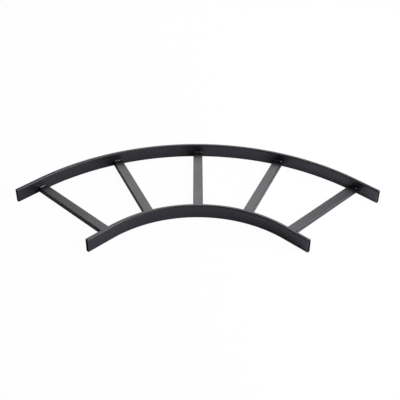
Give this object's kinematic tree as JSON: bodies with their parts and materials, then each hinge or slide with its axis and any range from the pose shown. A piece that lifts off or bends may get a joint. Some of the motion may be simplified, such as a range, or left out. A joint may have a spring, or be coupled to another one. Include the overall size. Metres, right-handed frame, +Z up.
{
  "type": "cable ladder bend",
  "caption": "Flat right-angle bend of a tubular steel cable ladder: two curved side rails with straight open ends, joined by welded radial rungs, in satin black powder coat.",
  "frame": {"origin": "centre of the footprint's bounding box, on the floor that the rails lie on", "axes": "+X across the bend from one end to the other, +Y from the inner rail to the outer rail at the middle of the bend, +Z up"},
  "size_m": [0.9496, 0.4404, 0.0381],
  "materials": {
    "powder_coat": "satin black powder coat",
    "weld_coat": "satin black powder coat over weld beads"
  },
  "bodies": {
    "root": {"outer_rail": "powder_coat", "inner_rail": "powder_coat", "rung_1": "powder_coat", "rung_2": "powder_coat", "rung_3": "powder_coat", "rung_4": "powder_coat", "rung_5": "powder_coat", "outer_welds": "weld_coat", "inner_welds": "weld_coat"}
  },
  "joints": []
}
